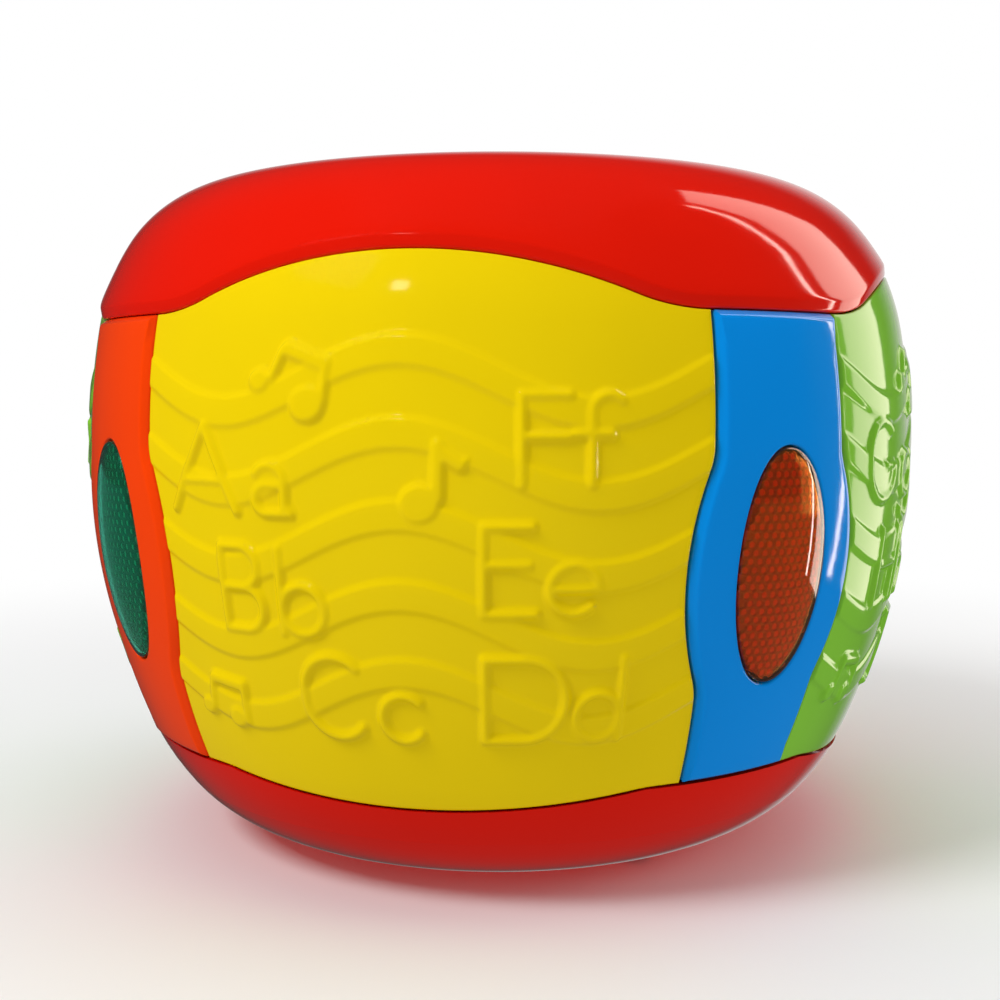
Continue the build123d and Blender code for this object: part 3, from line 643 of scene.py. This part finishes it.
def make_honeycomb(corner, turn, slot):
    """Reflector close behind a lens: a domed tray with six-sided cells in a darker copy of its colour as
    painted shade, each cell's floor in a brighter copy as a painted glint.
    """
    spots = (0.03, 0.3, 0.5, 0.7, 0.85, 0.95)
    rings = [(spot, lens_dome(spot, TRAY_BELOW)) for spot in spots] + [(0.95, -3.0), (0.03, -3.0)]
    tray, faces = oval_solid(rings, turn, 96)
    points = list(tray)
    bright = []
    corners = np.radians(30 + 60 * np.arange(6))
    for x, y in cell_centres():
        top = lens_dome(float(np.hypot(x / LENS_HALF_W, y / LENS_HALF_H)), CELLS_BELOW)
        first = len(points)
        for share, above in CELL_RINGS:
            xs = x + share * HEX_PITCH * np.cos(corners)
            zs = LENS_Z + y + share * HEX_PITCH * np.sin(corners)
            points.extend(flat_place(xs, zs, top + above, turn))
        faces += grid_faces(len(CELL_RINGS), 6, closed_columns=True, start=first)
        bright.append(len(faces))
        faces.append(tuple(first + 18 + k for k in range(6)))
        faces.append(tuple(first + 5 - k for k in range(6)))
    piece = new_mesh(f"{corner}_honeycomb", np.array(points), faces, "housing", slot, smooth=15)
    # Each cell's floor takes the brighter copy of the reflector colour, a painted glint.
    for index in bright:
        piece.data.polygons[index].material_index = 1


# ---------------------------------------------------------------- rim and head
# The rim's lip, as (height above the seam, how proud), from inside the seam up.
LIP_ROWS = [(0, -2.0), (0, -0.9), (0, -0.3), (0.12, 0.0), (0.5, 0.2), (1.2, 0.5), (1.9, 0.8), (2.25, 0.93),
            (2.6, 0.99), (3.2, 0.97), (4.5, 0.88), (7.0, 0.7), (10.0, 0.55)]
LIP_END = LIP_ROWS[-1][0]
RIM_PROUD = 0.5
RIM_INSIDE = -2.0
MOUTH_ROLL = 3.2
COLLAR_WALL = 2.2
COLLAR_BEVEL = 0.4
RIM_STEPS = 48
RIM_INSIDE_STEPS = 12


def ring(angles, r, z):
    """Points of a level or wavy ring about the drum's axis."""
    return np.stack([r * np.sin(angles), -r * np.cos(angles), np.broadcast_to(z, angles.shape)], axis=-1)


def mouth_profile(crest_r, crest_z):
    """(radius, height) points from the crest over the rolled mouth and round the guide collar."""
    guide = HEAD_GUIDE_R
    low = COLLAR_LOW_Z
    bevel = COLLAR_BEVEL
    roll_r = guide + MOUTH_ROLL
    roll_z = crest_z - MOUTH_ROLL
    profile = [(crest_r - 0.4 * (crest_r - roll_r), crest_z)]
    for k in range(0, 9):
        bend = pi / 2 * k / 8
        profile.append((roll_r - MOUTH_ROLL * sin(bend), roll_z + MOUTH_ROLL * cos(bend)))
    profile += [(guide, 168.0), (guide, 162.0), (guide, low + bevel), (guide + bevel, low),
                (guide + 1.9, low), (guide + COLLAR_WALL, low + bevel), (guide + COLLAR_WALL, 170.0),
                (guide + 4.0, 174.2)]
    return profile


def make_rim():
    """Rim: bevelled scalloped lip, rolled crest, mouth and guide collar, one closed ring."""
    count = 720
    angles = np.linspace(0, 2 * pi, count, endpoint=False)
    seam = top_seam(from_panel(angles))
    rows = [place(angles, seam + rise, np.full(count, proud)) for rise, proud in LIP_ROWS]
    start = heading_at(seam + LIP_END)
    for k in range(1, RIM_STEPS + 1):
        r, z = side_point(start + (pi - start) * k / RIM_STEPS, RIM_PROUD)
        rows.append(ring(angles, r, z))
    crest_r, crest_z = side_point(np.array([pi]), RIM_PROUD)
    rows += [ring(angles, r, z) for r, z in mouth_profile(float(crest_r[0]), float(crest_z[0]))]
    for k in range(1, RIM_INSIDE_STEPS):
        r, z = side_point(pi - (pi - start) * k / RIM_INSIDE_STEPS * 0.98, RIM_INSIDE)
        rows.append(ring(angles, r, z))
    faces = grid_faces(len(rows), count, closed_columns=True, closed_rows=True)
    new_mesh("rim_skin", np.vstack(rows), faces, "housing", "red_shell", ["top_rim"], 50)


HEAD_EDGE_R = 66.6
HEAD_EDGE_Z = 169.6
HEAD_CROWN = 2.2
HEAD_WALL = 2.2
HEAD_ROUNDING = 1.2
SKIRT_LOW_Z = 160.2
# Raised rings and one groove, as (radius, half width, height).
HEAD_RINGS = [(18.0, 1.1, 0.5), (36.0, 1.1, 0.5), (54.0, 1.1, 0.5), (61.0, 1.4, -0.8)]


def make_head():
    """Drum head: frosted dome with raised rings, a groove near the edge and a skirt."""
    dome_r = (HEAD_EDGE_R ** 2 + HEAD_CROWN ** 2) / (2 * HEAD_CROWN)
    centre_z = HEAD_EDGE_Z + HEAD_CROWN - dome_r
    outline = []
    for r in np.linspace(0.3, HEAD_EDGE_R - HEAD_ROUNDING, 170):
        z = centre_z + np.sqrt(dome_r ** 2 - r ** 2)
        for ring_r, wide, tall in HEAD_RINGS:
            z += tall * float(smooth_step(1.6 - abs(r - ring_r) / wide))
        outline.append((r, z))
    for k in range(1, 7):
        bend = pi / 2 * k / 6
        outline.append((HEAD_EDGE_R - HEAD_ROUNDING + HEAD_ROUNDING * sin(bend),
                        HEAD_EDGE_Z - HEAD_ROUNDING + HEAD_ROUNDING * cos(bend)))
    outline += [(HEAD_EDGE_R, SKIRT_LOW_Z + 0.8), (HEAD_EDGE_R - 0.4, SKIRT_LOW_Z),
                (HEAD_EDGE_R - 1.8, SKIRT_LOW_Z), (HEAD_EDGE_R - HEAD_WALL, SKIRT_LOW_Z + 0.8)]
    for r in np.linspace(HEAD_EDGE_R - HEAD_WALL, 0.3, 20):
        outline.append((r, centre_z + np.sqrt(dome_r ** 2 - r ** 2) - HEAD_WALL))
    count = 240
    angles = np.linspace(0, 2 * pi, count, endpoint=False)
    points = np.vstack([ring(angles, r, z) for r, z in reversed(outline)])
    faces = grid_faces(len(outline), count, closed_columns=True)
    faces.append(tuple(range(count))[::-1])
    faces.append(tuple(range(len(points) - count, len(points))))
    new_mesh("drum_head_skin", points, faces, "drum_head", "white_head", ["drum_head"], 40)


SPRING_PLACE_R = 50.0
SPRING_TURNS = 5
COIL_R = 3.55
WIRE_R = 0.45
COIL_LOW_Z = 151.0
COIL_HIGH_Z = 166.95


def make_springs():
    """The four coil springs under the head, as one piece with a mesh of its own."""
    steps, sides = 120, 8
    along = np.linspace(0, 1, steps + 1)[:, None]
    around = np.linspace(0, 2 * pi, sides, endpoint=False)[None, :]
    angle = 2 * pi * SPRING_TURNS * along
    reach = COIL_R + WIRE_R * np.cos(around)
    x = reach * np.cos(angle)
    y = reach * np.sin(angle)
    z = COIL_LOW_Z + (COIL_HIGH_Z - COIL_LOW_Z) * along + WIRE_R * np.sin(around)
    points = []
    faces = []
    for east, north in ((1, 0), (0, 1), (-1, 0), (0, -1)):
        start = len(points)
        spring = np.stack([x + SPRING_PLACE_R * east, y + SPRING_PLACE_R * north, z], axis=-1)
        points.extend(spring.reshape(-1, 3))
        faces += grid_faces(steps + 1, sides, closed_columns=True, start=start, flip=True)
        faces.append(tuple(start + k for k in range(sides)))
        faces.append(tuple(start + steps * sides + k for k in range(sides))[::-1])
    springs = new_mesh("head_spring_coils", points, faces, "housing", "steel", ["head_springs"])
    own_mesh(springs)


# ---------------------------------------------------------------- materials
def noise(tree, scale, detail):
    """Smooth noise fixed to the piece, as a 0 to 1 value."""
    place_node = tree.nodes.new("ShaderNodeTexCoord")
    texture = tree.nodes.new("ShaderNodeTexNoise")
    texture.inputs["Scale"].default_value = scale
    texture.inputs["Detail"].default_value = detail
    tree.links.new(place_node.outputs["Object"], texture.inputs["Vector"])
    return texture.outputs["Fac"]


def moulded(name, colour, roughness=0.07, coat=0.0, bump=0.02, speckle=0.03, **sockets):
    """Glossy moulded plastic: faint flow shading, uneven polish and a fine skin texture."""
    material = bpy.data.materials.new(name)
    material.use_nodes = True
    tree = material.node_tree
    shader = tree.nodes["Principled BSDF"]
    ramp = tree.nodes.new("ShaderNodeValToRGB")
    for element, position, share in zip(ramp.color_ramp.elements, (0.3, 0.7), (1 - speckle, 1 + speckle)):
        element.position = position
        element.color = (*[min(1.0, c * share) for c in colour], 1)
    tree.links.new(noise(tree, 14.0, 3.0), ramp.inputs["Fac"])
    tree.links.new(ramp.outputs["Color"], shader.inputs["Base Color"])
    polish = tree.nodes.new("ShaderNodeMapRange")
    polish.inputs["To Min"].default_value = roughness * 0.85
    polish.inputs["To Max"].default_value = roughness * 1.2
    tree.links.new(noise(tree, 60.0, 4.0), polish.inputs["Value"])
    tree.links.new(polish.outputs["Result"], shader.inputs["Roughness"])
    grain = tree.nodes.new("ShaderNodeBump")
    grain.inputs["Strength"].default_value = bump
    grain.inputs["Distance"].default_value = 0.0006
    tree.links.new(noise(tree, 260.0, 2.0), grain.inputs["Height"])
    tree.links.new(grain.outputs["Normal"], shader.inputs["Normal"])
    shader.inputs["Specular IOR Level"].default_value = 0.4
    shader.inputs["Coat Weight"].default_value = coat
    shader.inputs["Coat Roughness"].default_value = 0.06
    for socket, value in sockets.items():
        shader.inputs[socket.replace("_", " ")].default_value = value
    return material


def make_materials():
    """One material for each slot of the record, and two for each colour of reflector: a darker copy as
    painted shade for the tray and a brighter copy as painted glints for the cell floors.
    """
    return {
        "red_shell": moulded("red_plastic", (0.76, 0.008, 0.001)),
        "yellow_panel": moulded("yellow_plastic", (0.87, 0.63, 0.001)),
        "green_panel": moulded("green_plastic", (0.23, 0.57, 0.04)),
        "blue_column": moulded("blue_plastic", (0.001, 0.27, 0.80)),
        "orange_column": moulded("orange_plastic", (0.95, 0.055, 0.001)),
        "green_lens": moulded("green_lens_plastic", (0.06, 0.55, 0.36), 0.04, 1.0, 0.0, 0.02,
                              Transmission_Weight=0.93, IOR=1.12),
        "red_lens": moulded("red_lens_plastic", (0.90, 0.34, 0.06), 0.04, 1.0, 0.0, 0.02,
                            Transmission_Weight=0.93, IOR=1.12),
        "white_head": moulded("frosted_plastic", (0.80, 0.83, 0.86), 0.35, 0.1, 0.10, 0.02,
                              Transmission_Weight=0.35, Subsurface_Weight=0.2),
        "white_plastic": moulded("white_plastic", (0.78, 0.78, 0.75), 0.4, 0.0, 0.15),
        "black_plastic": moulded("black_plastic", (0.02, 0.02, 0.022), 0.38, 0.0, 0.2),
        "circuit_board": moulded("solder_mask", (0.01, 0.13, 0.04), 0.3, 0.2, 0.1, 0.12),
        "lamp": moulded("clear_epoxy", (0.85, 0.85, 0.80), 0.12, 0.4, 0.0, 0.02),
        "grey_rubber": moulded("grey_rubber", (0.06, 0.06, 0.06), 0.75, 0.0, 0.5, 0.15),
        "silicone": moulded("silicone", (0.55, 0.55, 0.55), 0.5, 0.0, 0.2),
        "steel": moulded("zinc_steel", (0.62, 0.62, 0.63), 0.28, 0.0, 0.2, 0.08, Metallic=1.0),
        "paper_cone": moulded("pressed_paper", (0.03, 0.03, 0.03), 0.9, 0.0, 0.9, 0.2),
        "cell_wrap": moulded("cell_sleeve", (0.05, 0.07, 0.10), 0.25, 0.2, 0.1, 0.1),
        "lead_sleeve": moulded("lead_sleeve", (0.40, 0.02, 0.01), 0.45, 0.0, 0.2, 0.1),
        # Each reflector colour comes as a darker copy, painted shade on the tray, and a brighter copy,
        # painted glints on the cell floors.
        "green_reflector": moulded("green_reflector_plastic", (0.02, 0.25, 0.18), 0.3, 0.0, 0.1, 0.1),
        "green_cell": moulded("green_cell_plastic", (0.15, 1.0, 0.55), 0.3, 0.0, 0.1, 0.1),
        "red_reflector": moulded("red_reflector_plastic", (0.56, 0.13, 0.02), 0.3, 0.0, 0.1, 0.1),
        "red_cell": moulded("red_cell_plastic", (1.0, 0.10, 0.01), 0.3, 0.0, 0.1, 0.1),
    }


def paint(materials):
    """Give every new piece and every CAD node the material of its slot."""
    slots = {part["node"]: part["material_slot"] for part in frame["record"]["subparts"]}
    for node, thing in frame["nodes"].items():
        thing.data.materials.clear()
        thing.data.materials.append(materials[slots[node]])
    for thing in bpy.context.scene.objects:
        if thing.type == "MESH" and thing.get("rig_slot"):
            key = thing["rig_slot"]
            # A honeycomb takes its reflector's darker copy (painted shade) and its brighter copy (painted
            # glints on the cell floors).
            if thing.name.endswith("_honeycomb"):
                thing.data.materials.append(materials[key.replace("_lens", "_reflector")])
                thing.data.materials.append(materials[key.replace("_lens", "_cell")])
            else:
                thing.data.materials.append(materials[key])


# ---------------------------------------------------------------- stage
def area_light(name, size, power, at, towards, colour=(1, 1, 1), mirrored=False):
    """Rectangular light that faces a point: it either lights surfaces or is mirrored in them."""
    data = bpy.data.lights.new(name, "AREA")
    data.shape = "RECTANGLE"
    data.size, data.size_y = size
    data.energy = power
    data.color = colour
    light = bpy.data.objects.new(name, data)
    light.location = at
    light.rotation_euler = (Vector(towards) - Vector(at)).to_track_quat("-Z", "Y").to_euler()
    light.visible_camera = False
    light.visible_glossy = mirrored
    light.visible_diffuse = not mirrored
    bpy.context.scene.collection.objects.link(light)


SKY_FILL = 0.42
FLOOR_GLOW = 2.5
UNDER_GLOW = 0.45
DARK_ROOM = 0.04
BACK_WALL = 0.80
FLOOR_SHEEN = 0.06


def mixed(tree, factor, one, other):
    """Shader that is one where the factor is 0 and the other where it is 1."""
    mix = tree.nodes.new("ShaderNodeMixShader")
    tree.links.new(factor, mix.inputs["Fac"])
    tree.links.new(one, mix.inputs[1])
    tree.links.new(other, mix.inputs[2])
    return mix.outputs["Shader"]


def eased(tree, value, start, end, low=0.0, high=1.0):
    """Value that goes from low to high as another goes from start to end."""
    node = tree.nodes.new("ShaderNodeMapRange")
    node.interpolation_type = "SMOOTHSTEP"
    node.inputs["From Min"].default_value = start
    node.inputs["From Max"].default_value = end
    node.inputs["To Min"].default_value = low
    node.inputs["To Max"].default_value = high
    tree.links.new(value, node.inputs["Value"])
    return node.outputs["Result"]


def sum_or_product(tree, operation, one, other):
    """Two values joined by a maths operation."""
    node = tree.nodes.new("ShaderNodeMath")
    node.operation = operation
    tree.links.new(one, node.inputs[0])
    tree.links.new(other, node.inputs[1])
    return node.outputs["Value"]


def make_world():
    """White to look at and soft grey fill; glossy surfaces mirror a dark room with a pale back wall."""
    world = bpy.data.worlds.new("surroundings")
    world.use_nodes = True
    tree = world.node_tree
    direction = tree.nodes.new("ShaderNodeTexCoord")
    axes = tree.nodes.new("ShaderNodeSeparateXYZ")
    tree.links.new(direction.outputs["Generated"], axes.inputs["Vector"])
    across, up = axes.outputs["Y"], axes.outputs["Z"]
    fill = tree.nodes["Background"]
    fill.inputs["Color"].default_value = (1, 1, 1, 1)
    sky_or_floor = eased(tree, up, -0.02, 0.02, SKY_FILL * FLOOR_GLOW, SKY_FILL)
    under_toy = eased(tree, up, -0.95, -0.30, UNDER_GLOW, 1.0)
    tree.links.new(sum_or_product(tree, "MULTIPLY", sky_or_floor, under_toy), fill.inputs["Strength"])
    room = tree.nodes.new("ShaderNodeBackground")
    room.inputs["Color"].default_value = (1.0, 0.96, 0.95, 1)
    back_wall = eased(tree, across, 0.80, 1.0, DARK_ROOM, BACK_WALL)
    floor_sheen = eased(tree, up, -0.6, -0.1, FLOOR_SHEEN, 0.0)
    tree.links.new(sum_or_product(tree, "ADD", back_wall, floor_sheen), room.inputs["Strength"])
    white = tree.nodes.new("ShaderNodeBackground")
    white.inputs["Color"].default_value = (1, 1, 1, 1)
    rays = tree.nodes.new("ShaderNodeLightPath")
    seen = mixed(tree, rays.outputs["Is Glossy Ray"], fill.outputs["Background"], room.outputs["Background"])
    seen = mixed(tree, rays.outputs["Is Camera Ray"], seen, white.outputs["Background"])
    tree.links.new(seen, tree.nodes["World Output"].inputs["Surface"])
    bpy.context.scene.world = world


FADE_FROM = 0.12
FADE_TO = 0.55


def pale_floor():
    """Pale floor that turns to plain white away from the toy and is clear from below."""
    material = bpy.data.materials.new("pale_floor")
    material.use_nodes = True
    tree = material.node_tree
    shader = tree.nodes["Principled BSDF"]
    shader.inputs["Base Color"].default_value = (0.86, 0.86, 0.86, 1)
    shader.inputs["Roughness"].default_value = 0.7
    spot = tree.nodes.new("ShaderNodeTexCoord")
    away = tree.nodes.new("ShaderNodeVectorMath")
    away.operation = "LENGTH"
    tree.links.new(spot.outputs["Object"], away.inputs[0])
    fade = eased(tree, away.outputs["Value"], FADE_FROM, FADE_TO)
    white = tree.nodes.new("ShaderNodeEmission")
    clear = tree.nodes.new("ShaderNodeBsdfTransparent")
    side = tree.nodes.new("ShaderNodeNewGeometry")
    seen = mixed(tree, fade, shader.outputs["BSDF"], white.outputs["Emission"])
    seen = mixed(tree, side.outputs["Backfacing"], seen, clear.outputs["BSDF"])
    tree.links.new(seen, tree.nodes["Material Output"].inputs["Surface"])
    return material


FLOOR_HALF = 3.0
FLOOR_DROP = 0.0001
MIDDLE = (0, 0, 0.09)
WINDOW_MIDDLE = (0.08, -0.05, 0.75)
WARM = (1.0, 0.84, 0.72)


def make_stage():
    """Pale floor, soft lights and white surroundings."""
    mesh = bpy.data.meshes.new("floor")
    corners = [(x * FLOOR_HALF, y * FLOOR_HALF, 0) for x, y in ((-1, -1), (1, -1), (1, 1), (-1, 1))]
    mesh.from_pydata(corners, [], [(0, 1, 2, 3)])
    mesh.materials.append(pale_floor())
    floor = bpy.data.objects.new("floor", mesh)
    floor.location.z = -FLOOR_DROP
    floor.visible_glossy = False
    floor.visible_diffuse = False
    bpy.context.scene.collection.objects.link(floor)
    area_light("key", (0.5, 0.5), 13.5, (-0.75, -0.85, 1.15), MIDDLE)
    area_light("overhead", (1.4, 1.4), 8.0, (0.0, 0.1, 1.6), MIDDLE)
    area_light("side", (0.6, 0.6), 4.0, (0.93, 0.375, 0.16), MIDDLE)
    area_light("window", (0.34, 1.9), 7.2, (0.79, 0.50, 0.75), WINDOW_MIDDLE, WARM, True)
    area_light("window_edge", (0.03, 1.9), 2.4, (0.95, 0.28, 0.75), WINDOW_MIDDLE, WARM, True)
    area_light("glint", (0.08, 0.08), 0.16, (-0.29, -0.96, 0.78), MIDDLE, WARM, True)
    make_world()
    bpy.context.scene.view_settings.view_transform = "Standard"


CAMERA_ROUND = 0.190
CAMERA_DISTANCE = 0.400
CAMERA_Z = 0.12365
CAMERA_DOWN = 0.0857


def make_camera():
    """Camera in front, a little to the right and slightly above the drum's middle."""
    data = bpy.data.cameras.new("camera")
    data.lens = 49.47
    data.sensor_width = 36.0
    data.clip_start = 0.01
    camera = bpy.data.objects.new("camera", data)
    camera.location = (CAMERA_DISTANCE * sin(CAMERA_ROUND), -CAMERA_DISTANCE * cos(CAMERA_ROUND), CAMERA_Z)
    camera.rotation_euler = (pi / 2 - CAMERA_DOWN, 0, CAMERA_ROUND)
    bpy.context.scene.collection.objects.link(camera)
    bpy.context.scene.camera = camera


make_camera()
make_stage()
for face, turn in FACES.items():
    make_panel(face, turn, "yellow_panel" if face in ("front", "back") else "green_panel")
for corner, turn in CORNERS.items():
    cool = corner in ("front_right", "back_left")
    make_column(corner, turn, "blue_column" if cool else "orange_column")
    make_lens(corner, turn, "red_lens" if cool else "green_lens")
    make_honeycomb(corner, turn, "red_lens" if cool else "green_lens")
make_rim()
make_head()
make_springs()
paint(make_materials())
